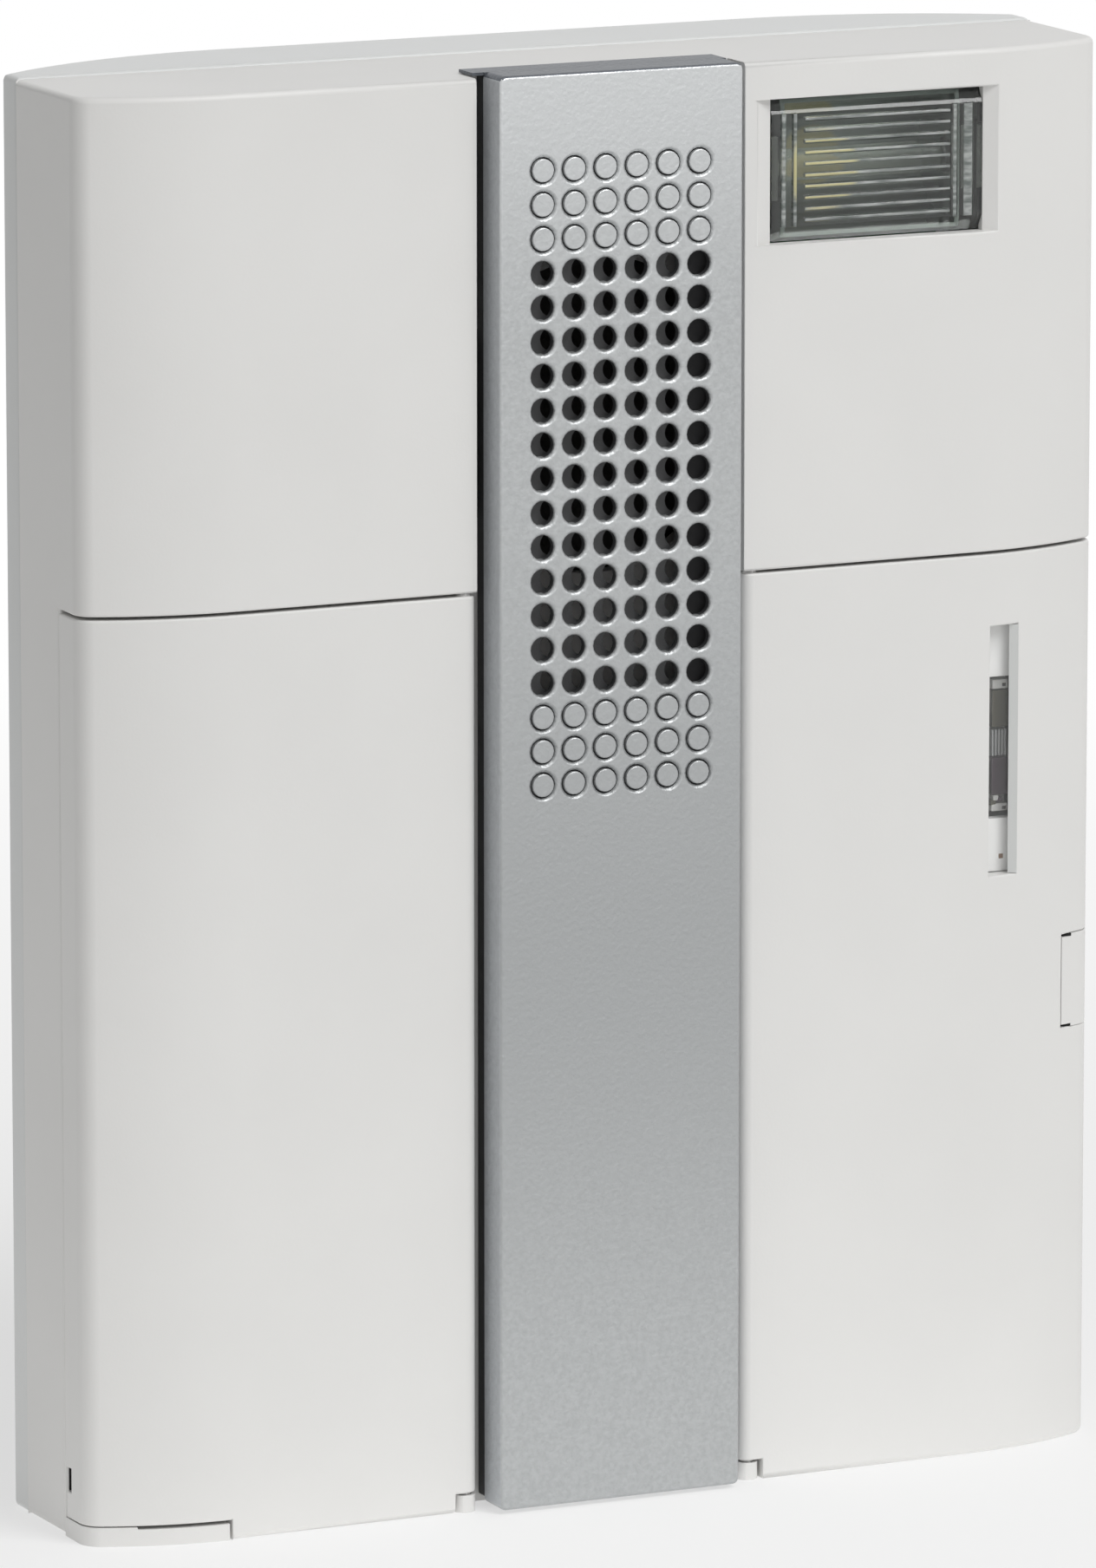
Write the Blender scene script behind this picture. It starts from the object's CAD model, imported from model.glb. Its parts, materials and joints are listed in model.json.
import json
import math

import bmesh
import bpy
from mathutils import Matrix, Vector

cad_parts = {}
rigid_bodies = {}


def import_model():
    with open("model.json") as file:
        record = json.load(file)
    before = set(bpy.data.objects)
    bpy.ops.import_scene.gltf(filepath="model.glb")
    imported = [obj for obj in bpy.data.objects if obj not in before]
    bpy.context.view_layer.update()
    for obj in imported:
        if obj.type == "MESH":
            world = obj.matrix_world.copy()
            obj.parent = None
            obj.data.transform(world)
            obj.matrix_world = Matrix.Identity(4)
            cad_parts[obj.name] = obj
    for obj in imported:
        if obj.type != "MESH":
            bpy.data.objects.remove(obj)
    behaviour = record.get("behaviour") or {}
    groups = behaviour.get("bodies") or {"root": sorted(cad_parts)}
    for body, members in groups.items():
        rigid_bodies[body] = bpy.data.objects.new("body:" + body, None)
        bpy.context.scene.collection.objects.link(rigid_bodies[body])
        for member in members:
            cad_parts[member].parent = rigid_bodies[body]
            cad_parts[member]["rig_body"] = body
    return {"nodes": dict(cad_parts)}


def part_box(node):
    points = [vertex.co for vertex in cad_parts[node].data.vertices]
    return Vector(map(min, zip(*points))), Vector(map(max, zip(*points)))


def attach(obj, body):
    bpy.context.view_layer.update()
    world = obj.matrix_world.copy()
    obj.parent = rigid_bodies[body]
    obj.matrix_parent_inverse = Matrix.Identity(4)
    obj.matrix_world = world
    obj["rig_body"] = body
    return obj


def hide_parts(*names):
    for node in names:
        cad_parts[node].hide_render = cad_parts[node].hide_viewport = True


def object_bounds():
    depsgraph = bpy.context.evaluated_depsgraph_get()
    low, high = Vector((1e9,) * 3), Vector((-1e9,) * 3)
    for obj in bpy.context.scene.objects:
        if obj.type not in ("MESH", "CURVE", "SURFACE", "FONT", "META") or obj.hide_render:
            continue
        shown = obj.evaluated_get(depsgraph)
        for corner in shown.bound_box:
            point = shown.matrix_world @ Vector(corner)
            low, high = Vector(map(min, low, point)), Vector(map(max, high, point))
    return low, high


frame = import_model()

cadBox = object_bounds()
mm = 0.001
same = 0.001 * mm       # points as close as this are one point
lap = 0.1 * mm          # how far joined blocks reach into each other
sharp = 35              # degrees from which an edge counts as sharp
upright = math.pi / 2   # turns what is made flat to face the front
nodes = frame["nodes"]
scene = bpy.context.scene
scene.view_settings.view_transform = "Standard"


# shared node steps

def nodesIn(tree):
    # what adds a node to a tree; an input takes a value, a socket or a list of sockets
    def put(kind, inputs=None, **settings):
        node = tree.nodes.new(kind)
        for setting, value in settings.items():
            setattr(node, setting, value)
        for label, value in (inputs or {}).items():
            for source in value if isinstance(value, list) else [value]:
                if isinstance(source, bpy.types.NodeSocket):
                    tree.links.new(source, node.inputs[label])
                else:
                    node.inputs[label].default_value = source
        return node.outputs
    return put


def calc(put, operation, a, b=0.0):
    return put("ShaderNodeMath", {0: a, 1: b}, operation=operation)[0]


def span(put, source, low, high, start=0.0, end=1.0, kind="LINEAR"):
    # the source between start and end, brought to low and high
    inputs = {"Value": source, "From Min": start, "From Max": end, "To Min": low, "To Max": high}
    return put("ShaderNodeMapRange", inputs, interpolation_type=kind)["Result"]


def inObject(put):
    return put("ShaderNodeTexCoord")["Object"]


def away(put, place):
    return put("ShaderNodeVectorMath", {0: place}, operation="LENGTH")["Value"]


def paint(name, colour, rough, metal=0.0, **extra):
    made = bpy.data.materials.new(name)
    made.use_nodes = True
    inputs = made.node_tree.nodes["Principled BSDF"].inputs
    for socket, value in {"Base_Color": (*colour, 1), "Roughness": rough, "Metallic": metal, **extra}.items():
        inputs[socket.replace("_", " ")].default_value = value
    return made


# camera, floor and lights

camera = {
    "yaw": 25.0,            # degrees to the left of the front
    "rise": 10.9,           # degrees above level
    "distance": 1.45,
    "aim": (-0.00865, -0.038, 0.0017),
    "lens": 269.2,          # mm on the sensor's long side
    "sensor": 36,
    "clip": 0.05,
}
lamps = {
    "key": {"turn": 25, "rise": 51, "distance": 1.1, "size": 0.55, "share": 0.58},
    "fill": {"turn": -12, "rise": 12, "distance": 1.5, "size": 1.2, "share": 0.1},
    "side": {"turn": -75, "rise": 8, "distance": 1.4, "size": 0.9, "share": 0.03},
}
room = {
    "ambient": 0.295,
    "floor": (0.86, 0.86, 0.855),
    "floorRough": 0.9,
    "floorHalf": 3.0,
    "white": (0.55, 1.0),       # how white the floor looks near the object and further out
    "fade": (0.1, 0.55),        # and between which distances that changes
    "bounce": (0.43, 0.0),      # the light that the floor throws up near the object and further out
    "near": (0.1, 0.32),        # and between which distances that changes
}


def standAt(holder, turn, rise, distance):
    # an object at that distance from the aim, which it faces
    a, e = math.radians(turn), math.radians(rise)
    back = Vector((math.sin(a) * math.cos(e), -math.cos(a) * math.cos(e), math.sin(e)))
    holder.rotation_mode = "QUATERNION"
    holder.location = Vector(camera["aim"]) + back * distance
    holder.rotation_quaternion = (-back).to_track_quat("-Z", "Y")
    scene.collection.objects.link(holder)


def makeCamera():
    lens = bpy.data.cameras.new("photoCamera")
    lens.lens, lens.sensor_width, lens.clip_start = camera["lens"], camera["sensor"], camera["clip"]
    holder = bpy.data.objects.new("photoCamera", lens)
    standAt(holder, -camera["yaw"], camera["rise"], camera["distance"])
    scene.camera = holder


def makeLamps():
    for name, s in lamps.items():
        light = bpy.data.lights.new(name, "AREA")
        light.size = s["size"]
        light.energy = math.pi ** 2 * s["distance"] ** 2 * s["share"]   # share of a plain white level
        standAt(bpy.data.objects.new(name, light), s["turn"], s["rise"], s["distance"])


def seenDirectly(put):
    # 1 for what the camera, gloss and glass see, 0 for the light that falls on things
    path = put("ShaderNodeLightPath")
    first = calc(put, "MAXIMUM", path["Is Camera Ray"], path["Is Glossy Ray"])
    return calc(put, "MAXIMUM", first, path["Is Transmission Ray"])


def whiten(made):
    # the floor's own shade near the object, where it throws light up, runs out to white
    tree = made.node_tree
    put = nodesIn(tree)
    distance, seen = away(put, inObject(put)), seenDirectly(put)
    white = calc(put, "MULTIPLY", span(put, distance, *room["white"], *room["fade"]), seen)
    lift = calc(put, "MULTIPLY", span(put, distance, *room["bounce"], *room["near"]), span(put, seen, 1, 0))
    own, glow = tree.nodes["Principled BSDF"].outputs[0], put("ShaderNodeEmission")[0]
    mix = put("ShaderNodeMixShader", {"Fac": white, 1: own, 2: glow})[0]
    both = put("ShaderNodeAddShader", {0: mix, 1: put("ShaderNodeEmission", {"Strength": lift})[0]})[0]
    tree.links.new(both, tree.nodes["Material Output"].inputs["Surface"])


def makeRoom():
    world = bpy.data.worlds.new("studio")
    world.use_nodes = True
    scene.world = world
    put, back = nodesIn(world.node_tree), world.node_tree.nodes["Background"]
    back.inputs["Color"].default_value = (1, 1, 1, 1)
    world.node_tree.links.new(span(put, seenDirectly(put), room["ambient"], 1.0), back.inputs["Strength"])
    half, low = room["floorHalf"], cadBox[0].z
    mesh = bpy.data.meshes.new("floor")
    corners = [(-half, -half, low), (half, -half, low), (half, half, low), (-half, half, low)]
    mesh.from_pydata(corners, [], [(0, 1, 2, 3)])
    floor = bpy.data.objects.new("floor", mesh)
    scene.collection.objects.link(floor)
    paper = paint("floorPaper", room["floor"], room["floorRough"])
    whiten(paper)
    mesh.materials.append(paper)


makeCamera()
makeLamps()
makeRoom()
print("stage: camera, lamps and floor")


# materials

def feed(made, source, socket):
    tree = made.node_tree
    tree.links.new(source, tree.nodes["Principled BSDF"].inputs[socket])


def noise(made, size, detail=2.0, stretch=(1, 1, 1)):
    # noise whose grains measure about size, in metres
    put = nodesIn(made.node_tree)
    place = put("ShaderNodeMapping", {"Vector": inObject(put), "Scale": stretch})[0]
    return put("ShaderNodeTexNoise", {"Vector": place, "Scale": 1 / size, "Detail": detail})["Fac"]


def mottle(made, source, dark, light, low=0.3, high=0.7):
    # base colour between two tones
    ramp = nodesIn(made.node_tree)("ShaderNodeValToRGB", {"Fac": source})["Color"]
    for stop, place, tone in zip(ramp.node.color_ramp.elements, (low, high), (dark, light)):
        stop.position, stop.color = place, (*tone, 1)
    feed(made, ramp, "Base Color")


def roughen(made, source, low, high):
    feed(made, span(nodesIn(made.node_tree), source, low, high), "Roughness")


def grained(made, colour, tone, spread, grain, rough, vary, depth):
    # the tone moves the colour by a spread, the grain the roughness and a bump of that depth, in metres
    mottle(made, tone, *(tuple(c * (1 + way * spread) for c in colour) for way in (-1, 1)))
    roughen(made, grain, rough - vary[0], rough + vary[1])
    bump = nodesIn(made.node_tree)("ShaderNodeBump", {"Distance": depth, "Strength": 1.0, "Height": grain})
    feed(made, bump["Normal"], "Normal")
    return made


def moulded(name, colour, rough=0.42, grain=0.00035, depth=0.000012, spread=0.012, cloud=0.02,
            vary=(0.05, 0.07)):
    # moulded plastic with a fine spark grain and a faint cloud in its colour
    made = paint(name, colour, rough)
    tone, fine = noise(made, cloud), noise(made, grain, detail=3)
    return grained(made, colour, tone, spread, fine, rough, vary, depth)


def hammered(name, colour, rough=0.4, metal=0.55, size=0.0006, depth=0.00011, spread=0.06,
             vary=(0.06, 0.1)):
    # silver paint with a leathery grain
    made = paint(name, colour, rough, metal)
    grain = noise(made, size)
    return grained(made, colour, grain, spread, grain, rough, vary, depth)


def brushed(name, colour, rough=0.3, stretch=(1, 1, 12), size=0.002, depth=0.000006, spread=0.08,
            vary=(0.08, 0.12)):
    # plated or drawn metal with fine lines
    made = paint(name, colour, rough, 1.0)
    lines = noise(made, size, detail=4, stretch=stretch)
    return grained(made, colour, lines, spread, lines, rough, vary, depth)


def tinted(made, share, tint):
    # the base colour turns into a tint by a share
    base = made.node_tree.nodes["Principled BSDF"].inputs["Base Color"].links[0].from_socket
    inputs = {"Factor": share, 6: base, 7: (*tint, 1)}
    feed(made, nodesIn(made.node_tree)("ShaderNodeMix", inputs, data_type="RGBA")[2], "Base Color")


def spot(made, centre, reach, tint, square=False, core=0.8, rim=1.05):
    # a tint within a reach of a centre, in millimetres: a box or a spot that runs out between core and rim
    put = nodesIn(made.node_tree)
    inputs = {"Vector": inObject(put), "Scale": tuple(1 / (r * mm) for r in reach),
              "Location": tuple(-c / r for c, r in zip(centre, reach))}
    place = put("ShaderNodeMapping", inputs)[0]
    if square:
        share = 1.0
        for part in put("ShaderNodeSeparateXYZ", {0: place}):
            inside = put("ShaderNodeMath", {0: part, 1: 0.0, 2: 1.0}, operation="COMPARE")[0]
            share = calc(put, "MULTIPLY", share, inside)
    else:
        share = span(put, away(put, place), 1.0, 0.0, core, rim, "SMOOTHSTEP")
    tinted(made, share, tint)


def tracked(made, length, tint):
    # the tracks of a circuit board, as thin lines round fields of that length
    put = nodesIn(made.node_tree)
    place = put("ShaderNodeMapping", {"Vector": inObject(put), "Rotation": (upright, 0, 0)})[0]
    inputs = {"Vector": place, "Scale": 1 / length, "Mortar Size": 0.045, "Mortar Smooth": 0.1,
              "Brick Width": 2.6, "Row Height": 0.3}
    lines = put("ShaderNodeTexBrick", inputs, offset=0.37, squash=0.45, squash_frequency=3)
    tinted(made, lines["Fac"], tint)


def clear(name, colour, rough=0.03, ior=1.49, cloud=0.004, vary=0.05):
    made = paint(name, colour, rough, Transmission_Weight=1.0, IOR=ior)
    roughen(made, noise(made, cloud), rough, rough + vary)
    return made


shellWhite = (0.735, 0.73, 0.715)
finish = {
    "white_shell": moulded("whiteShell", shellWhite),
    "rear_shell": moulded("rearShell", (0.71, 0.72, 0.715)),
    "silver_strip": hammered("stripPaint", (0.455, 0.468, 0.472)),
    "speaker_cloth": moulded("speakerFelt", (0.17, 0.172, 0.175), 0.9,
                             grain=0.0003, depth=0.00003, spread=0.2),
    "clear_lens": clear("clearLens", (0.70, 0.73, 0.71)),
    "clear_window": paint("slotClear", (0.85, 0.86, 0.85), 0.08, Alpha=0.05),
    "bright_reflector": brushed("reflectorFoil", (0.33, 0.36, 0.34), 0.45, stretch=(1, 8, 8)),
    "lamp_glass": clear("lampGlass", (0.97, 0.96, 0.90), 0.02, ior=1.47),
    "ivory_plastic": moulded("ivoryPlastic", (0.16, 0.165, 0.15)),
    "circuit_board": moulded("circuitBoard", (0.02, 0.11, 0.045), 0.35),
    "capacitor_sleeve": moulded("capacitorSleeve", (0.02, 0.035, 0.10), 0.3),
    "coil_tape": moulded("coilTape", (0.55, 0.40, 0.06), 0.35),
    "black_plastic": moulded("blackPlastic", (0.02, 0.02, 0.022), 0.45),
    "grey_metal_part": brushed("greyMetal", (0.45, 0.45, 0.44), 0.35),
    "lamp_cap": moulded("lampCap", (0.09, 0.085, 0.06), 0.3),
    "white_knob": moulded("whiteKnob", (0.70, 0.70, 0.68)),
    "orange_button": moulded("orangeButton", (0.62, 0.16, 0.025), 0.4),
    "green_block": moulded("greenBlock", (0.04, 0.26, 0.10), 0.45),
    "plated_steel": brushed("platedSteel", (0.66, 0.66, 0.64), 0.28),
    "basket_steel": moulded("basketSteel", (0.03, 0.03, 0.032), 0.45),
    "magnet_iron": moulded("magnetIron", (0.06, 0.06, 0.065), 0.6, grain=0.0005, depth=0.00004),
    "cone_paper": moulded("conePaper", (0.035, 0.033, 0.03), 0.85, grain=0.0006, depth=0.00005, spread=0.15),
    "cone_surround": moulded("coneSurround", (0.015, 0.015, 0.016), 0.5),
    "cell_sleeve": moulded("cellSleeve", (0.10, 0.10, 0.11), 0.3),
    "wire_cover": moulded("wireCover", (0.35, 0.03, 0.025), 0.4),
}
roughen(finish["clear_window"], noise(finish["clear_window"], 0.004), low=0.06, high=0.12)
capShade = hammered("stripCap", (0.115, 0.125, 0.14))
stripSide = hammered("stripSide", (0.49, 0.51, 0.53), 0.5, metal=0.1)
lensRib = paint("lensRib", (0.6, 0.63, 0.61), 0.3, Transmission_Weight=0.55, IOR=1.49)
streaks = noise(lensRib, 0.004, detail=3, stretch=(1, 6, 6))
mottle(lensRib, streaks, (0.22, 0.25, 0.24), (0.80, 0.83, 0.81), low=0.36, high=0.64)
slotPale = moulded("slotPale", (0.88, 0.88, 0.87), 0.4)
rampGrey = moulded("rampGrey", (0.60, 0.61, 0.60), 0.4)
finGrey = moulded("finGrey", (0.42, 0.43, 0.43), 0.4)
gateBrown = moulded("gateBrown", (0.20, 0.11, 0.06), 0.5)
lampPurple = moulded("lampPurple", (0.055, 0.035, 0.05), 0.3)
leadBlack = moulded("leadBlack", (0.02, 0.02, 0.022), 0.4)
slotBlack = moulded("slotBlack", (0.004, 0.004, 0.004), 0.9)
carrierBlack = moulded("stripCarrier", (0.035, 0.036, 0.038), 0.6)

# tints within single pieces, in mm: where, how far, and the colour
wide = 1000
spot(finish["silver_strip"], (0, -40, -18), (wide, wide, 62), (0.378, 0.389, 0.393), core=0)   # at the middle
spot(finish["silver_strip"], (0, -40, 98), (wide, wide, 40), (0.60, 0.615, 0.62), core=0)      # at the top
spot(finish["speaker_cloth"], (15.5, -38, 40), (7.5, wide, wide), (0.045, 0.045, 0.047))        # last column
spot(finish["bright_reflector"], (33.5, -30, 76.1), (4.5, wide, 4), (0.48, 0.44, 0.27))         # warm end
spot(lensRib, (29.3, -37, 75.9), (5.2, wide, 5.4), (0.92, 0.85, 0.46))
for x, z in ((-52.5, -38.4), (-52.5, 11.6), (-26.5, -77.6), (-26.5, -27.6)):        # bands of the cells
    spot(finish["cell_sleeve"], (x, -18, z), (13, wide, 6.1), (0.40, 0.41, 0.42), square=True)
low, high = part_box("filter_capacitors")
front = [c / mm for c in ((low.x + high.x) / 2, low.y, (low.z + high.z) / 2)]
spot(finish["capacitor_sleeve"], front, (20, 0.05, 20), (0.55, 0.56, 0.57), square=True)        # pale ends
tracked(finish["circuit_board"], length=0.006, tint=(0.05, 0.20, 0.085))
slotOf = {name: piece.data.materials[0].name for name, piece in nodes.items()}
print("stage: materials", len(finish))


# shared mesh steps

def newPiece(name, mesh, slot, body, *stands):
    piece = bpy.data.objects.new(name, mesh)
    scene.collection.objects.link(piece)
    if not mesh.materials:
        mesh.materials.append(finish[slot])
    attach(piece, body)
    if stands:
        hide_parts(*stands)
    return piece


def opened(mesh):
    work = bmesh.new()
    work.from_mesh(mesh)
    return work


def stored(work, mesh):
    work.to_mesh(mesh)
    work.free()
    return mesh


def joined(node):
    # a node's mesh to work on, with its corners made one
    work = opened(nodes[node].data)
    bmesh.ops.remove_doubles(work, verts=work.verts, dist=same)
    return work


def baked(piece):
    # the piece with its modifiers worked in, as a plain mesh
    scene.collection.objects.link(piece)
    graph = bpy.context.evaluated_depsgraph_get()
    graph.update()
    mesh = bpy.data.meshes.new_from_object(piece.evaluated_get(graph), depsgraph=graph)
    bpy.data.objects.remove(piece)
    return mesh


socketKinds = {float: "Float", int: "Int", bpy.types.Object: "Object", bpy.types.Material: "Material"}


def grown(name, sizes, build, base=None, wall=0.0):
    # a plain mesh from a tree of nodes, whose named inputs hold the sizes
    tree = bpy.data.node_groups.new(name, "GeometryNodeTree")
    face, put = tree.interface, nodesIn(tree)
    face.new_socket("geometry", in_out="OUTPUT", socket_type="NodeSocketGeometry")
    face.new_socket("base", in_out="INPUT", socket_type="NodeSocketGeometry")
    for label, value in sizes.items():
        face.new_socket(label, in_out="INPUT", socket_type="NodeSocket" + socketKinds[type(value)])
    ask = {socket.name: socket for socket in put("NodeGroupInput")}
    whole = put("GeometryNodeRealizeInstances", {"Geometry": build(put, ask)})[0]
    done = put("GeometryNodeSetMaterial", {"Geometry": whole, "Material": ask["finish"]})[0]
    put("NodeGroupOutput", {0: done})
    piece = bpy.data.objects.new(name, base or bpy.data.meshes.new(name))
    steps = piece.modifiers.new(name, "NODES")
    steps.node_group = tree
    for item in face.items_tree:
        if item.in_out == "INPUT" and item.name in sizes:
            steps[item.identifier] = sizes[item.name]
    if wall:
        solid = piece.modifiers.new("wall", "SOLIDIFY")
        solid.thickness, solid.offset = wall, -1
    return baked(piece)


def below(put, value, limit):
    return put("FunctionNodeCompare", {0: value, 1: limit}, data_type="FLOAT", operation="LESS_THAN")[0]


def position(put):
    return put("ShaderNodeSeparateXYZ", {0: put("GeometryNodeInputPosition")[0]})


def bareEdges(put):
    faces = put("GeometryNodeInputMeshEdgeNeighbors")[0]
    return put("FunctionNodeCompare", {2: faces, 3: 1}, data_type="INT", operation="EQUAL")[0]


def gridOf(put, ask, width, height):
    return put("GeometryNodeMeshGrid", {"Size X": width, "Size Y": height,
                                        "Vertices X": ask["columns"], "Vertices Y": ask["rows"]})[0]


def ringCurve(put, ask, radius):
    return put("GeometryNodeCurvePrimitiveCircle", {"Resolution": ask["corners"], "Radius": radius})[0]


def moved(put, shape, turn=0.0, **place):
    where = put("ShaderNodeCombineXYZ", place)[0]
    inputs = {"Geometry": shape, "Translation": where, "Rotation": (turn, 0, 0)}
    return put("GeometryNodeTransform", inputs)[0]


def ringMesh(name, rings, closed=False, outward=True):
    # rings of as many points each, joined one to the next; closed fills the last one
    steps = len(rings[0])
    faces = []
    for a in range(len(rings) - 1):
        for i in range(steps):
            j = (i + 1) % steps
            quad = (a * steps + i, (a + 1) * steps + i, (a + 1) * steps + j, a * steps + j)
            faces.append(quad if outward else quad[::-1])
    if closed:
        last = [(len(rings) - 1) * steps + i for i in range(steps)]
        faces.append(last[::-1] if outward else last)
    mesh = bpy.data.meshes.new(name)
    mesh.from_pydata([p for ring in rings for p in ring], [], faces)
    return mesh


def circle(radius, z, steps):
    turns = [2 * math.pi * i / steps for i in range(steps)]
    return [(radius * math.cos(t), radius * math.sin(t), z) for t in turns]


def addBox(work, low, high):
    # a closed block between two corners, in a bmesh
    made = bmesh.ops.create_cube(work, size=1.0)["verts"]
    for v in made:
        v.co = Vector([a + (b - a) * (c + 0.5) for a, b, c in zip(low, high, v.co)])
    return made


def isSquare(face, least=0.99999):
    # whether a face looks along an axis
    return max(map(abs, face.normal)) > least


def outward(mesh):
    # a closed mesh with its faces turned outwards
    work = opened(mesh)
    bmesh.ops.recalc_face_normals(work, faces=work.faces)
    stored(work, mesh)


def keepFlats(mesh, limit=sharp):
    # faces square to an axis stay flat, and the rounded edges run between them
    mesh.shade_smooth()
    mesh.set_sharp_from_angle(angle=math.radians(limit))
    normals = [corner.vector.copy() for corner in mesh.corner_normals]
    flats = {}
    for face in filter(isSquare, mesh.polygons):
        for vertex in face.vertices:
            flats.setdefault(vertex, []).append(face.normal.copy())
    for face in mesh.polygons:
        own, square = face.normal.copy(), isSquare(face)
        for corner, vertex in zip(face.loop_indices, face.vertices):
            best = own if square else max(flats.get(vertex, []), key=own.dot, default=None)
            if best and own.dot(best) > math.cos(math.radians(limit)):
                normals[corner] = best
    mesh.normals_split_custom_set(normals)


def roundedBoxes(name, boxes, materials, width, steps=2):
    # closed blocks with rounded edges in one mesh; each is two corners, in mm, and its material's number
    work = bmesh.new()
    for low, high, number in boxes:
        made = addBox(work, Vector(low) * mm, Vector(high) * mm)
        for face in {f for v in made for f in v.link_faces}:
            face.material_index = number
    mesh = stored(work, bpy.data.meshes.new(name))
    for made in materials:
        mesh.materials.append(made)
    piece = bpy.data.objects.new(name, mesh)
    bevel = piece.modifiers.new("edges", "BEVEL")
    bevel.width, bevel.segments, bevel.limit_method = width, steps, "NONE"
    mesh = baked(piece)
    keepFlats(mesh)
    return mesh


# housings and doors with their outer edges rounded

rounding = {
    "rim": 0.8 * mm,        # top and bottom rims
    "seam": 0.3 * mm,       # level edges at doors, windows and the parting
    "upright": 0.08 * mm,   # upright edges of cuts in the curved faces
    "side": 0.5 * mm,       # the front shell's edges beside the doors
    "parting": {"front_housing": 0.06 * mm, "rear_housing": 0.5 * mm},
    "close": 0.35 * mm,     # how far a door's rear edge reaches into its gap
    "slotTop": -81.3 * mm,  # except below the slot of the left door
    "lift": 0.3 * mm,       # how far the rear shell stands above the front shell at the top
    "curved": 8 * mm,       # how far back the curved front reaches
    "steps": 3,
    "flat": 0.4,            # degrees up to which faces are made one
    "lean": 0.1,            # how far an outer face may lean
    "near": 0.03 * mm,      # how close to the outline a corner counts as outside
    "facet": 0.25 * mm,     # and how close a point of an outer face lies to it
}


def hullOf(points):
    # counter-clockwise convex ring, which keeps every small turn of an arc
    halves = []
    for run in (points, points[::-1]):
        half = []
        for p in run:
            while len(half) > 1 and (half[-1] - half[-2]).cross(p - half[-2]) <= same ** 2:
                half.pop()
            half.append(p)
        halves += half[:-1]
    return halves


def outline(points):
    # the convex outline in plan: each side with the smooth normals of its ends
    flat = sorted({(round(v.co.x, 6), round(v.co.y, 6)) for v in points})
    ring = hullOf([Vector(p) for p in flat])
    middle = sum(ring, Vector((0, 0))) / len(ring)
    sides = []
    for a, b in zip(ring, ring[1:] + ring[:1]):
        out = Vector((b.y - a.y, a.x - b.x)).normalized()
        sides.append([a, b, out if out.dot(a - middle) > 0 else -out])
    made = []
    for i, (a, b, out) in enumerate(sides):
        ends = []
        for other in (sides[i - 1], sides[(i + 1) % len(sides)]):
            soft = out.angle(other[2]) < math.radians(sharp)
            mixed = out * (b - a).length_squared + other[2] * (other[1] - other[0]).length_squared
            ends.append(mixed.normalized() if soft else out)
        made.append((a, b, *ends))
    return made


def onOutline(point, sides):
    # distance to the outline, and its smooth normal there
    best = (1.0, None)
    for a, b, first, last in sides:
        along = b - a
        t = max(0.0, min(1.0, (point - a).dot(along) / along.length_squared))
        gap = (point - a - along * t).length
        if gap < best[0]:
            best = (gap, first.lerp(last, t))
    return best


def settleNormals(mesh, sides):
    # outer faces take the outline's normals, square ones their own, and rounded edges run between them
    mesh.set_sharp_from_angle(angle=math.radians(sharp))
    normals = [corner.vector.copy() for corner in mesh.corner_normals]
    places = [onOutline(v.co.to_2d(), sides) for v in mesh.vertices]
    known = {}
    for face in mesh.polygons:
        if face.material_index:
            continue
        close = all(places[v][0] < rounding["facet"] for v in face.vertices)
        outer = close and abs(face.normal.z) < rounding["lean"]
        for corner, vertex in zip(face.loop_indices, face.vertices):
            if outer:
                normals[corner] = places[vertex][1].to_3d().normalized()
            elif isSquare(face):
                normals[corner] = face.normal.copy()
            known.setdefault(vertex, []).append(normals[corner])
    for face in mesh.polygons:
        if face.material_index:
            for corner, vertex in zip(face.loop_indices, face.vertices):
                if vertex in known:
                    normals[corner] = max(known[vertex], key=face.normal.dot)
            face.material_index = 0
    mesh.normals_split_custom_set(normals)


def shiftEdges(work, node, high):
    # what differs from the solid: doors reach into their gaps, and the rear shell stands higher
    for v in work.verts:
        if node.endswith("door") and v.co.y > high.y - 2 * same and v.co.z > rounding["slotTop"]:
            v.co.y += rounding["close"]
        elif node == "rear_housing" and v.co.z > high.z - 2 * same:
            v.co.z += rounding["lift"]


def weighEdges(work, node, low, high, sides):
    # each outer edge's rounding, as a share of the rim's
    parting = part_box("front_housing")[1].y
    tops = {low.z, high.z, max(v.co.z for v in work.verts)}
    skin = {v for v in work.verts if onOutline(v.co.to_2d(), sides)[0] < rounding["near"]}
    weight = work.edges.layers.float.new("bevel_weight_edge")
    for edge in work.edges:
        a, b = edge.verts
        if len(edge.link_faces) != 2 or not edge.is_convex or a not in skin or b not in skin:
            continue
        if edge.calc_face_angle(0) < math.radians(sharp):
            continue
        width = rounding["seam"]
        if abs(a.co.y - parting) + abs(b.co.y - parting) < 2 * same:
            width = rounding["parting"][node]
        elif any(abs(a.co.z - z) + abs(b.co.z - z) < 2 * same for z in tops):
            width = rounding["rim"]
        elif abs(a.co.z - b.co.z) > 2 * same:
            beside = node == "front_housing" and a.co.y > low.y + rounding["curved"]
            width = rounding["side" if beside else "upright"]
        edge[weight] = width / rounding["rim"]


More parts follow.
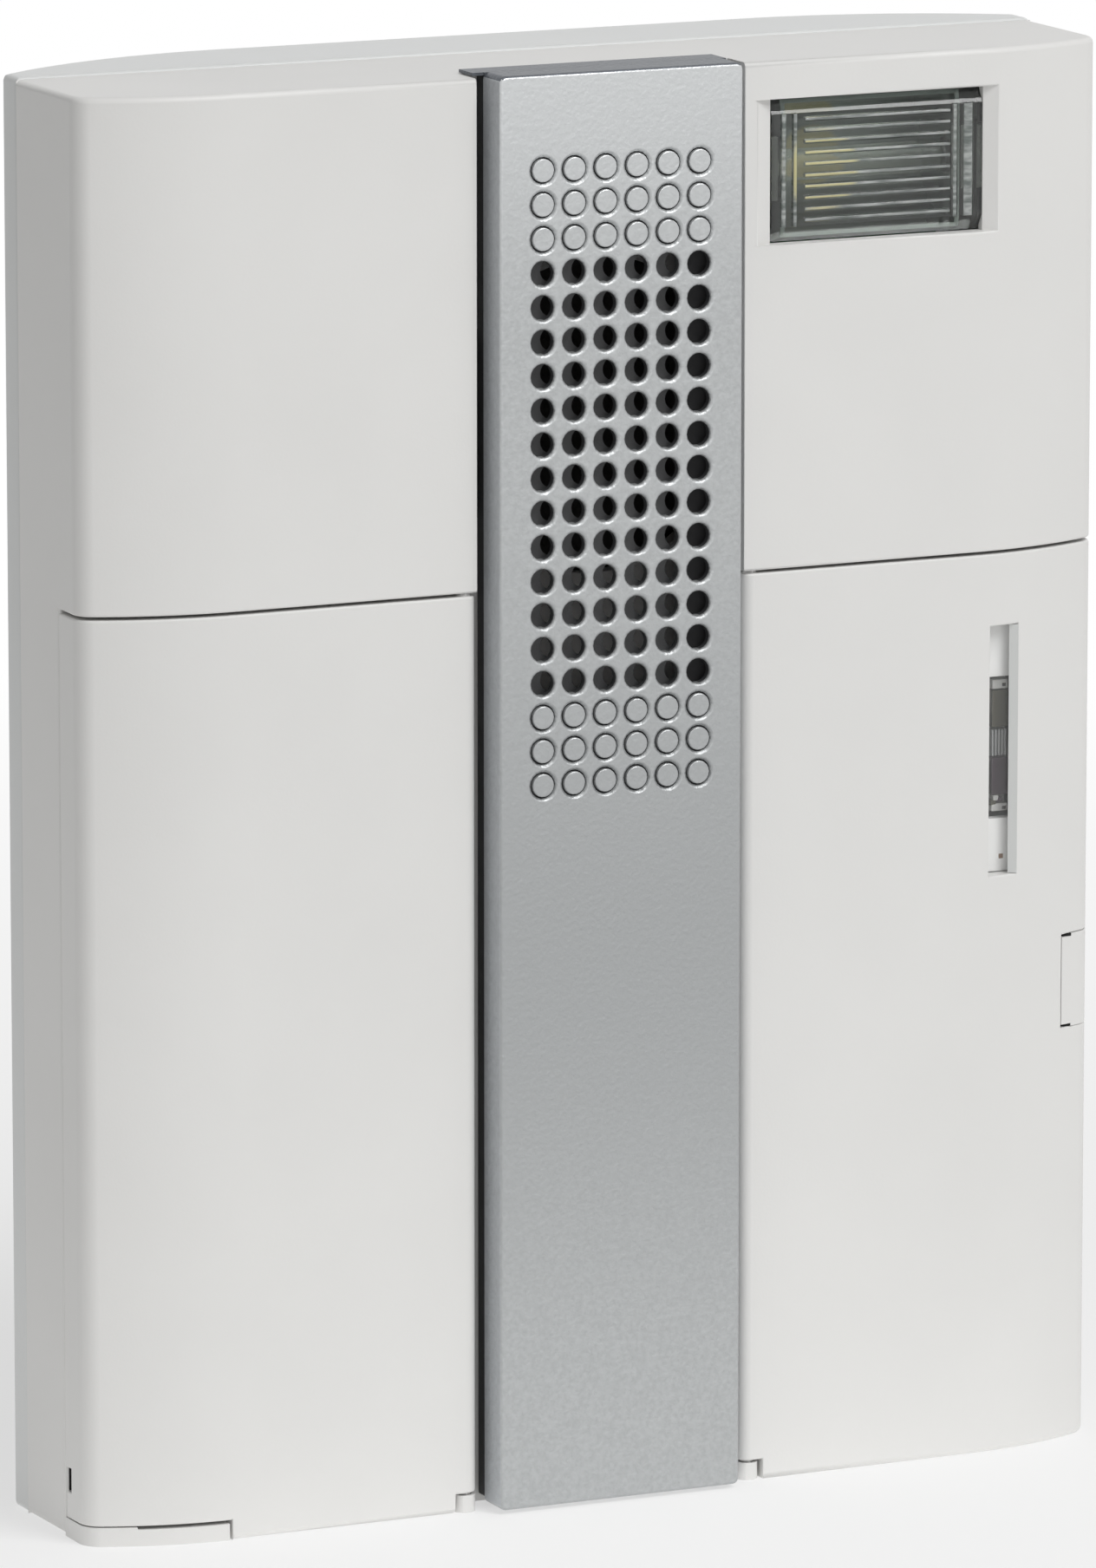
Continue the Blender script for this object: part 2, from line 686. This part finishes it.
def roundedShell(node, name):
    low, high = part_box(node)
    work = joined(node)
    bmesh.ops.dissolve_limit(work, angle_limit=math.radians(rounding["flat"]),
                             verts=work.verts, edges=work.edges)
    shiftEdges(work, node, high)
    sides = outline(work.verts)
    weighEdges(work, node, low, high, sides)
    mesh = stored(work, bpy.data.meshes.new(name))
    mesh.shade_smooth()
    mesh.materials.append(finish[slotOf[node]])
    mesh.materials.append(finish[slotOf[node]])   # the second slot marks the rounded edges for a while
    piece = bpy.data.objects.new(name, mesh)
    bevel = piece.modifiers.new("edges", "BEVEL")
    bevel.limit_method, bevel.width, bevel.segments = "WEIGHT", rounding["rim"], rounding["steps"]
    bevel.use_clamp_overlap, bevel.loop_slide, bevel.material = False, False, 1
    made = baked(piece)
    work = opened(made)
    bmesh.ops.triangulate(work, faces=[f for f in work.faces if len(f.verts) > 4])
    settleNormals(stored(work, made), sides)
    made.materials.pop(index=1)
    newPiece(name, made, slotOf[node], nodes[node]["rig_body"], node)


for node, name in (("front_housing", "frontShell"), ("rear_housing", "rearShell"),
                   ("left_door", "batteryDoor"), ("right_door", "controlDoor")):
    roundedShell(node, name)
print("stage: housings and doors")


# latches, which close most of the gaps round them

latches = {
    "tab": {"slots": 66.1 * mm, "close": 0.37 * mm, "left": 0.25 * mm},     # two short slots stay open
    "lip": {"shut": -63.5 * mm, "raise": 0.3 * mm, "rear": -27.5 * mm, "back": 0.33 * mm},
    "cut": 0.03 * mm,           # between the closed and the open part of a gap
    "slack": 0.01 * mm,
    "dark": {                   # mm: what shows black in narrow slots
        "left_door": [((-69.25, -27.98, -84.05), (-67.3, -27.72, -81.25))],
        "right_door": [((64.8, -34.9, -24.52), (66.1, -34.4, -24.18)),
                       ((64.8, -34.9, -36.22), (66.1, -34.4, -35.88))],
    },
    "darkRound": 0.04 * mm,
}


def latchWork(node, cut):
    work = joined(node)
    for place in (cut, cut + latches["cut"]):
        whole = work.verts[:] + work.edges[:] + work.faces[:]
        bmesh.ops.bisect_plane(work, geom=whole, plane_co=(place, 0, 0), plane_no=(1, 0, 0))
    return work


def latchPiece(work, node, door, name):
    mesh = stored(work, bpy.data.meshes.new(name))
    mesh.shade_smooth()
    settleNormals(mesh, outline([*nodes[door].data.vertices, *mesh.vertices]))
    newPiece(name, mesh, slotOf[node], nodes[node]["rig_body"], node)


def makeTab():
    s, (low, high) = latches["tab"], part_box("right_latch")
    work = latchWork("right_latch", s["slots"])
    for v in work.verts:
        if v.co.x > s["slots"] + latches["slack"]:
            v.co.z += s["close"] * ((v.co.z > high.z - same) - (v.co.z < low.z + same))
        elif v.co.x < low.x + same:
            v.co.x -= s["left"]
    latchPiece(work, "right_latch", "right_door", "latchTab")


def makeLip():
    s, top = latches["lip"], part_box("left_latch")[1].z
    work = latchWork("left_latch", s["shut"])
    for v in work.verts:
        if v.co.x < s["shut"] + latches["slack"] and v.co.y < s["rear"] + same and v.co.z > top - same:
            v.co.z += s["raise"]
        if abs(v.co.y - s["rear"]) < same:
            v.co.y += s["back"]
    latchPiece(work, "left_latch", "left_door", "latchLip")


makeTab()
makeLip()
for door, corners in latches["dark"].items():
    boxes = [(low, high, 0) for low, high in corners]
    name = door.split("_")[0] + "SlotDark"
    newPiece(name, roundedBoxes(name, boxes, [slotBlack], latches["darkRound"]), "black_plastic", door)
print("stage: latches")


# centre strip with open and blank holes

strip = {
    "half": 16.5 * mm, "low": -89.5 * mm, "high": 90.5 * mm,
    "front": -41 * mm, "sides": 4.9 * mm, "deep": 7.7 * mm, "wall": 1.4 * mm, "step": 0.45 * mm,
    "edge": 0.45 * mm, "edgeTurns": (0, 30, 60, 90),                # degrees round the front edge
    "topCorner": 0.9 * mm, "lowCorner": 0.8 * mm, "leastCorner": 0.03 * mm, "turns": 4,
    "columns": 6, "rows": 19, "openRows": 13, "pitch": 4.25 * mm, "middle": 40.4 * mm,
    "rim": 2.1 * mm, "hole": 1.55 * mm, "corners": 18,
    "open": [(2.1, 0), (1.86, -0.06), (1.66, -0.22), (1.55, -0.5), (1.55, -1.4)],    # mm: radius, depth
    "blank": [(2.1, 0), (1.98, -0.05), (1.66, -0.36), (1.57, -0.62), (1.47, -0.5), (1.43, -0.08), (1.33, 0)],
    "cap": {"x": (-17.9 * mm, 16.4 * mm), "z": (90.1 * mm, 90.48 * mm), "back": (5 * mm, 9 * mm)},
    "leg": {"half": 2.5 * mm, "thick": 1.6 * mm, "end": 11.8 * mm, "hook": 0.6 * mm, "hookDeep": 1.3 * mm,
            "z": (81 * mm, -22 * mm, -64 * mm)},
    "top": {"z": 90 * mm, "up": 0.5, "deep": 0.6 * mm},             # which faces belong to the cap
    "bore": {"deep": 0.45 * mm, "x": 15.2 * mm, "level": 0.995},    # to the holes
    "flank": {"x": 16 * mm, "across": 0.9},                         # and to the sides
}


def stripRing(inset, z):
    points = []
    for i, (sx, sy) in enumerate(((1, 1), (-1, 1), (-1, -1), (1, -1))):
        r = max(strip["topCorner" if sy > 0 else "lowCorner"] - inset, strip["leastCorner"])
        cx = sx * (strip["half"] - inset - r)
        cy = strip["high"] - inset - r if sy > 0 else strip["low"] + inset + r
        for k in range(strip["turns"] + 1):
            a = math.radians(90 * (i + k / strip["turns"]))
            points.append((cx + r * math.cos(a), cy + r * math.sin(a), z))
    return points


def stripTray():
    # front rim, rounded edge, sides, rear rim and inner sides, with the front still open
    edge, sides, deep, wall = (strip[key] for key in ("edge", "sides", "deep", "wall"))
    rounds = [math.radians(a) for a in strip["edgeTurns"]]
    rings = [stripRing(edge * (1 - math.sin(a)), edge * (math.cos(a) - 1)) for a in rounds]
    rings += [stripRing(inset, -back) for inset, back in (
        (0, sides), (strip["step"], sides), (strip["step"], deep), (wall, deep), (wall, wall))]
    mesh = ringMesh("stripTray", rings)
    work = opened(mesh)
    cap, leg = strip["cap"], strip["leg"]
    (x0, x1), (z0, z1), (near, far) = cap["x"], cap["z"], cap["back"]
    addBox(work, (x0, z0, -far), (x1, z1, -near))
    addBox(work, (-x1, z0, -near - lap), (x1, z1, -sides + lap))     # joins it to the tray
    for z in leg["z"]:
        low, high = z - leg["thick"] / 2, z + leg["thick"] / 2
        addBox(work, (-leg["half"], low, -leg["end"]), (leg["half"], high, -wall + lap))
        addBox(work, (-leg["half"], high - lap, -leg["end"]),
               (leg["half"], high + leg["hook"], -leg["end"] + leg["hookDeep"]))
    return stored(work, mesh)


def holeGrid(put, ask):
    # a point for each hole
    steps = [calc(put, "SUBTRACT", ask[key], 1.0) for key in ("columns", "rows")]
    return gridOf(put, ask, *(calc(put, "MULTIPLY", step, ask["pitch"]) for step in steps))


def stripTree(put, ask):
    grid = holeGrid(put, ask)
    reach = calc(put, "MULTIPLY", calc(put, "MULTIPLY", ask["openRows"], ask["pitch"]), 0.5)
    isOpen = below(put, calc(put, "ABSOLUTE", position(put)["Y"]), reach)
    isBlank = put("FunctionNodeBooleanMath", {0: isOpen}, operation="NOT")[0]

    def setAt(shape, chosen=True):
        inputs = {"Points": grid, "Instance": shape, "Selection": chosen}
        placed = put("GeometryNodeInstanceOnPoints", inputs)[0]
        return moved(put, put("GeometryNodeRealizeInstances", {"Geometry": placed})[0], Y=ask["middle"])

    # plates between the holes, which fill the tray's two rims
    bare = bareEdges(put)
    inner = below(put, position(put)["Z"], calc(put, "MULTIPLY", ask["wall"], -0.5))
    outer = put("FunctionNodeBooleanMath", {0: inner}, operation="NOT")[0]
    plates = []
    for side, radius, rows in ((outer, ask["rim"], True), (inner, ask["hole"], isOpen)):
        chosen = put("FunctionNodeBooleanMath", {0: bare, 1: side}, operation="AND")[0]
        loop = put("GeometryNodeMeshToCurve", {"Mesh": ask["base"], "Selection": chosen})[0]
        rings = setAt(ringCurve(put, ask, radius), rows)
        both = put("GeometryNodeJoinGeometry", {"Geometry": [loop, rings]})[0]
        plates.append(put("GeometryNodeFillCurve", {"Curve": both})[0])
    rear = moved(put, plates[1], Z=calc(put, "MULTIPLY", ask["wall"], -1.0))
    rear = put("GeometryNodeFlipFaces", {"Mesh": rear})[0]
    holes = [setAt(put("GeometryNodeObjectInfo", {"Object": ask[key]})["Geometry"], chosen)
             for key, chosen in (("openHole", isOpen), ("blankHole", isBlank))]
    whole = put("GeometryNodeJoinGeometry", {"Geometry": [ask["base"], plates[0], rear, *holes]})[0]
    whole = put("GeometryNodeMergeByDistance", {"Geometry": whole, "Distance": 2 * same})[0]
    return moved(put, whole, upright, Y=ask["front"])


def stripShade(face):
    # the number of a face's material
    top, bore, flank = strip["top"], strip["bore"], strip["flank"]
    deep, x = face.center.y - strip["front"], abs(face.center.x)
    if face.center.z > top["z"] and (face.normal.z > top["up"] or deep > top["deep"]):
        return 1
    inHole = deep > bore["deep"] and x < bore["x"] and abs(face.normal.z) < bore["level"]
    if inHole or deep > strip["sides"] - lap:
        return 2
    return 3 if abs(face.normal.x) > flank["across"] and x > flank["x"] else 0


def makeStrip():
    sizes = {key: strip[key] for key in ("pitch", "columns", "rows", "openRows", "middle", "rim", "hole",
                                         "corners", "wall", "front")}
    shapes = {}
    for key in ("open", "blank"):
        name = key + "Hole"
        rings = [circle(r * mm, z * mm, strip["corners"]) for r, z in strip[key]]
        mesh = ringMesh(name, rings, closed=key == "blank", outward=False)
        shapes[name] = bpy.data.objects.new(name, mesh)
        scene.collection.objects.link(shapes[name])
    sizes = {**sizes, **shapes, "finish": finish["silver_strip"]}
    mesh = grown("centreStrip", sizes, stripTree, stripTray())
    for shape in shapes.values():
        bpy.data.objects.remove(shape)
    keepFlats(mesh)
    mesh.materials.clear()
    for made in (finish["silver_strip"], capShade, carrierBlack, stripSide):
        mesh.materials.append(made)
    for face in mesh.polygons:
        face.material_index = stripShade(face)
    newPiece("centreStrip", mesh, "silver_strip", "housing", "trim_strip")


makeStrip()
print("stage: centre strip")


# punched sheet behind the open holes

sheet = {
    "width": 29.6 * mm, "height": 59.5 * mm, "thick": 0.4 * mm, "front": -38.4 * mm,
    "columns": 5, "rows": 13, "hole": 1.43 * mm,
    **{key: strip[key] for key in ("middle", "pitch", "corners")},
}


def sheetTree(put, ask):
    inputs = {"Points": holeGrid(put, ask), "Instance": ringCurve(put, ask, ask["hole"])}
    rings = put("GeometryNodeInstanceOnPoints", inputs)[0]
    rings = put("GeometryNodeRealizeInstances", {"Geometry": rings})[0]
    edge = put("GeometryNodeCurvePrimitiveQuadrilateral", {"Width": ask["width"], "Height": ask["height"]})[0]
    both = put("GeometryNodeJoinGeometry", {"Geometry": [edge, rings]})[0]
    flat = moved(put, put("GeometryNodeFillCurve", {"Curve": both})[0], Y=ask["middle"])
    return moved(put, flat, upright, Y=ask["front"])


def makeSheet():
    sizes = {key: value for key, value in sheet.items() if key != "thick"}
    sizes["finish"] = finish["speaker_cloth"]
    mesh = grown("punchedSheet", sizes, sheetTree, wall=sheet["thick"])
    piece = newPiece("punchedSheet", mesh, "speaker_cloth", "housing", "grille_cloth")


makeSheet()
print("stage: punched sheet")


# flash lens: level ribs in the middle, upright ribs at both ends, sloped bands above and below

lens = {
    "x": (22.35 * mm, 51.55 * mm), "z": (67.15 * mm, 85.05 * mm), "front": -36.9 * mm, "back": -34.45 * mm,
    "band": 1.9 * mm, "fall": 1.1 * mm,
    "ribs": 10, "ribPitch": 1.4 * mm, "ribHalf": 0.3 * mm, "ribHeight": 0.25 * mm, "ribTip": 0.88,
    "fieldHalf": 10.15 * mm,
    "sideRibs": (23.96 * mm, 25.5 * mm, 47.7 * mm, 49.5 * mm),
    "sideHalf": (0.34 * mm, 0.34 * mm, 0.34 * mm, 0.75 * mm),
    "sideHeight": 0.34 * mm, "columns": 200, "rows": 300, "sharp": 50,
    "whole": 0.999,             # share of a band's width past which the ribs begin
}


def lensTree(put, ask):
    # a grid whose points are raised by the ribs and lowered along the bands, with sides and a flat back
    def times(a, b):
        return calc(put, "MULTIPLY", a, b)

    def over(a, b):
        return calc(put, "DIVIDE", a, b)

    def less(a, b):
        return calc(put, "SUBTRACT", a, b)

    def size(a):
        return calc(put, "ABSOLUTE", a)

    def ridge(off, half):
        share = over(off, half)
        return calc(put, "SQRT", calc(put, "MAXIMUM", less(1.0, times(share, share))))

    place = position(put)
    across, along = size(place["X"]), size(place["Y"])
    middles = times(ask["ribs"], 0.5)
    count = calc(put, "ADD", over(place["Y"], ask["ribPitch"]), middles)
    off = size(less(calc(put, "FRACT", count), 0.5))
    height = times(ridge(times(off, ask["ribPitch"]), ask["ribHalf"]), ask["ribHeight"])
    for value, reach in ((across, ask["fieldHalf"]), (along, times(ask["ribPitch"], middles))):
        height = times(height, below(put, value, reach))
    for i in range(len(lens["sideRibs"])):
        off = size(less(place["X"], ask["sideRib%d" % i]))
        side = times(ridge(off, ask["sideHalf%d" % i]), ask["sideHeight"])
        height = calc(put, "ADD", height, side)
    into = calc(put, "MINIMUM", over(less(times(ask["height"], 0.5), along), ask["band"]), 1.0)
    height = times(height, calc(put, "GREATER_THAN", into, ask["whole"]))     # no ribs on the bands
    fall = times(less(1.0, into), ask["fall"])
    lift = put("ShaderNodeCombineXYZ", {"Z": less(height, fall)})[0]
    grid = gridOf(put, ask, ask["width"], ask["height"])
    front = put("GeometryNodeSetPosition", {"Geometry": grid, "Offset": lift})[0]
    rim = bareEdges(put)
    inputs = {"Mesh": front, "Selection": rim, "Offset Scale": 0.0}
    walls = put("GeometryNodeExtrudeMesh", inputs, mode="EDGES")
    where, deep = position(put), times(ask["depth"], -1.0)
    flat = put("ShaderNodeCombineXYZ", {"X": where["X"], "Y": where["Y"], "Z": deep})[0]
    inputs = {"Geometry": walls["Mesh"], "Selection": walls["Top"], "Position": flat}
    walls = put("GeometryNodeSetPosition", inputs)[0]
    loop = put("GeometryNodeMeshToCurve", {"Mesh": walls, "Selection": rim})[0]
    back = moved(put, put("GeometryNodeFillCurve", {"Curve": loop}, mode="NGONS")[0], Z=deep)
    whole = put("GeometryNodeJoinGeometry", {"Geometry": [walls, back]})[0]
    whole = put("GeometryNodeMergeByDistance", {"Geometry": whole, "Distance": same})[0]
    return moved(put, whole, upright, X=ask["middleX"], Y=ask["front"], Z=ask["middleZ"])


def makeLens():
    (x0, x1), (z0, z1) = lens["x"], lens["z"]
    sizes = {key: lens[key] for key in ("columns", "rows", "ribs", "ribPitch", "ribHeight", "ribHalf",
                                        "fieldHalf", "sideHeight", "band", "fall", "whole", "front")}
    middle = (x0 + x1) / 2
    sizes |= {"width": x1 - x0, "height": z1 - z0, "depth": lens["back"] - lens["front"],
              "middleX": middle, "middleZ": (z0 + z1) / 2, "finish": finish["clear_lens"]}
    for i, (x, half) in enumerate(zip(lens["sideRibs"], lens["sideHalf"])):
        sizes["sideRib%d" % i], sizes["sideHalf%d" % i] = x - middle, half
    mesh = grown("flashLens", sizes, lensTree)
    outward(mesh)
    keepFlats(mesh, lens["sharp"])
    mesh.materials.clear()
    for made in (finish["clear_lens"], lensRib):
        mesh.materials.append(made)
    for face in mesh.polygons:
        face.material_index = int(face.center.y < lens["front"] - lens["ribTip"] * lens["ribHeight"])
    newPiece("flashLens", mesh, "clear_lens", "housing", "flash_lens")


makeLens()
print("stage: flash lens")


# slot window of the right door, with pale ends behind clear plastic, and the lamp unit behind it

slotWindow = {                  # mm: from where to where in x, y and z
    "pane": ((52.8, 56.8), (-36.95, -36.5), (-15.1, 16.7)),
    "flange": ((51.4, 58.2), (-34.35, -34.05), (-16.5, 18.1)),
    "pale": ((52.8, 56.8), (-35.6, -34.2), (-15.1, 16.7)),
    "open": (-8.3, 9.9),        # the height left free between the pale ends
    "gate": ((55.28, 55.92), (-35.65, -35.5), (-13.52, -12.88)),
    "ramp": ((56.88, -37.5), (55.85, -36.97), (56.88, -36.97)), "rampZ": (-15.15, 16.75),    # at the right
    "round": 0.12 * mm,
}


def makeWindow():
    s, boxes = slotWindow, []

    def add(x, y, z, number):
        boxes.append((*zip(x, y, z), number))

    add(*s["pane"], 0)
    low, high = s["open"]
    for x, y, z in (s["flange"], s["pale"]):
        add(x, y, (z[0], low), 1)
        add(x, y, (high, z[1]), 1)
    add(*s["gate"], 2)
    mesh = roundedBoxes("slotWindow", boxes, (finish["clear_window"], slotPale, gateBrown), s["round"])
    newPiece("slotWindow", mesh, slotOf["indicator_window"], "right_door", "indicator_window")
    ends = [Vector((x, y, z)) * mm for z in s["rampZ"] for x, y in s["ramp"]]
    ramp = bpy.data.meshes.new("slotRamp")
    ramp.from_pydata(ends, [], [(2, 1, 0), (3, 4, 5), (0, 1, 4, 3), (1, 2, 5, 4), (2, 0, 3, 5)])
    outward(ramp)
    ramp.materials.append(rampGrey)
    newPiece("slotRamp", ramp, "white_shell", "right_door")


lampStack = {                   # mm
    "base": ((52.2, -33, -7.9), (57.4, -15.7, 9.5), 3),
    "plate": ((52.4, -34.4, -7.4), (54.5, -32.9, 5), 4),
    "x": (54.75, 57),           # the column of blocks on the base
    "y": (-34.6, -32.9),
    "blocks": ((8.1, 9.3, 3), (3.2, 7.9, 1), (-5.5, -0.7, 2), (-7.6, -6.6, 3)),     # low, high, finish
    "fins": 5, "finShare": 0.62, "finZ": (-0.5, 2.9),
    "bits": ((55.0, -6.5, 1), (55.9, -6.1, 2), (56.5, -7.2, 1), (55.4, -5.9, 3), (56.4, 8.6, 2)),
    "bitHalf": (0.4, 0.35),
    "round": 0.15 * mm,
}


def makeLampUnit():
    s = lampStack
    (x0, x1), (y0, y1), (z0, z1), (dx, dz) = s["x"], s["y"], s["finZ"], s["bitHalf"]
    boxes = [s["base"]]
    boxes += [((x0, y0, low), (x1, y1, high), number) for low, high, number in s["blocks"]]
    boxes.append(s["plate"])
    pitch = (x1 - x0) / s["fins"]
    for i in range(s["fins"]):
        left = x0 + i * pitch
        boxes.append(((left, y0, z0), (left + s["finShare"] * pitch, y1, z1), 4))
    for x, z, number in s["bits"]:
        boxes.append(((x - dx, y0, z - dz), (x + dx, y1, z + dz), number))
    made = (finish["grey_metal_part"], finish["lamp_cap"], lampPurple, finish["white_knob"], finGrey)
    mesh = roundedBoxes("lampStack", boxes, made, s["round"])
    newPiece("lampStack", mesh, slotOf["lamp_unit"], "housing", "lamp_unit", "indicator_lamps")


makeWindow()
makeLampUnit()
print("stage: slot window and lamp unit")


# wire pieces: springs of the battery bay and the inner leads

wires = {
    "spring": {"wire": 0.4 * mm, "radius": 6 * mm, "taper": 1.6 * mm, "turns": 3, "rise": 5 * mm,
               "steps": 96},
    "springAt": ((-52.5, -20.5, -85.5, 1), (-26.5, -16.3, 19.5, -1)),       # mm, and which way it stands
    "lead": 0.6 * mm, "smooth": 8, "ease": 0.35, "corners": 10,
    "battery": ([(-26.5, -9, 22.7), (-7.1, -9, 22.7), (6.9, -9, 15), (24.15, -9, 15), (29.15, -13.4, 11)],
                [(-34.5, -6, 22.7), (-7.1, -6, 22.7), (6.9, -6, 12), (24.15, -6, 12), (29.15, -13.4, 7)]),
    "speaker": ([(13.2, -15.8, 43.6), (18.2, -15.8, 38.6), (18.2, -12, 26.2), (18.2, -12, -1),
                 (27.15, -13.4, -3)],
                [(13.2, -15.8, 49.6), (20.7, -15.8, 40.6), (20.7, -12, 26.2), (20.7, -12, 3),
                 (27.15, -13.4, 1)]),
}


def tubeTree(put, ask):
    path = put("GeometryNodeMeshToCurve", {"Mesh": ask["base"]})[0]
    inputs = {"Curve": path, "Profile Curve": ringCurve(put, ask, ask["radius"]), "Fill Caps": True}
    made = put("GeometryNodeCurveToMesh", inputs)[0]
    return put("GeometryNodeSetShadeSmooth", {"Geometry": made, "Shade Smooth": True})[0]


def tube(name, paths, radius, made):
    # round wires along rows of points
    mesh = bpy.data.meshes.new(name)
    points, edges = [], []
    for path in paths:
        edges += [(len(points) + i, len(points) + i + 1) for i in range(len(path) - 1)]
        points += path
    mesh.from_pydata(points, edges, [])
    return grown(name, {"radius": radius, "corners": wires["corners"], "finish": made}, tubeTree, mesh)


def eased(corners):
    # a row of points through the corners, in metres, without sharp bends
    ends = [Vector(p) * mm for p in corners]
    row = [ends[0] * 2 - ends[1], *ends, ends[-1] * 2 - ends[-2]]
    points = []
    for a, b, c, d in zip(row, row[1:], row[2:], row[3:]):
        for k in range(wires["smooth"]):
            t = k / wires["smooth"]
            pull = (c - a) * t + (2 * a - 5 * b + 4 * c - d) * t ** 2 + (3 * b - a - 3 * c + d) * t ** 3
            points.append(b.lerp(c, t).lerp(b + pull / 2, wires["ease"]))
    return points + [ends[-1]]


def springPath(x, y, z, way):
    s, start, points = wires["spring"], Vector((x, y, z)) * mm, []
    for i in range(s["steps"] + 1):
        t = i / s["steps"]
        r, turn = s["radius"] - s["wire"] - s["taper"] * t, 2 * math.pi * s["turns"] * t
        up = s["wire"] + (s["rise"] - 2 * s["wire"]) * t
        points.append(start + Vector((r * math.cos(turn), way * r * math.sin(turn), way * up)))
    return points


coils = tube("batterySprings", [springPath(*at) for at in wires["springAt"]], wires["spring"]["wire"],
             finish[slotOf["battery_springs"]])
newPiece("batterySprings", coils, slotOf["battery_springs"], "housing", "battery_springs")
for name, node in (("battery", "battery_leads"), ("speaker", "speaker_leads")):
    mesh = tube(name + "Leads", [eased(path) for path in wires[name]], wires["lead"], finish[slotOf[node]])
    mesh.materials.append(leadBlack)
    half = len(mesh.polygons) // 2
    for face in mesh.polygons:
        face.material_index = int(face.index >= half)
    newPiece(name + "Leads", mesh, slotOf[node], "housing", node)
print("stage: springs and leads")


# every CAD node's finish

for node, slot in slotOf.items():
    nodes[node].data.materials.clear()
    nodes[node].data.materials.append(finish[slot])
print("stage: finishes on", len(slotOf), "nodes")
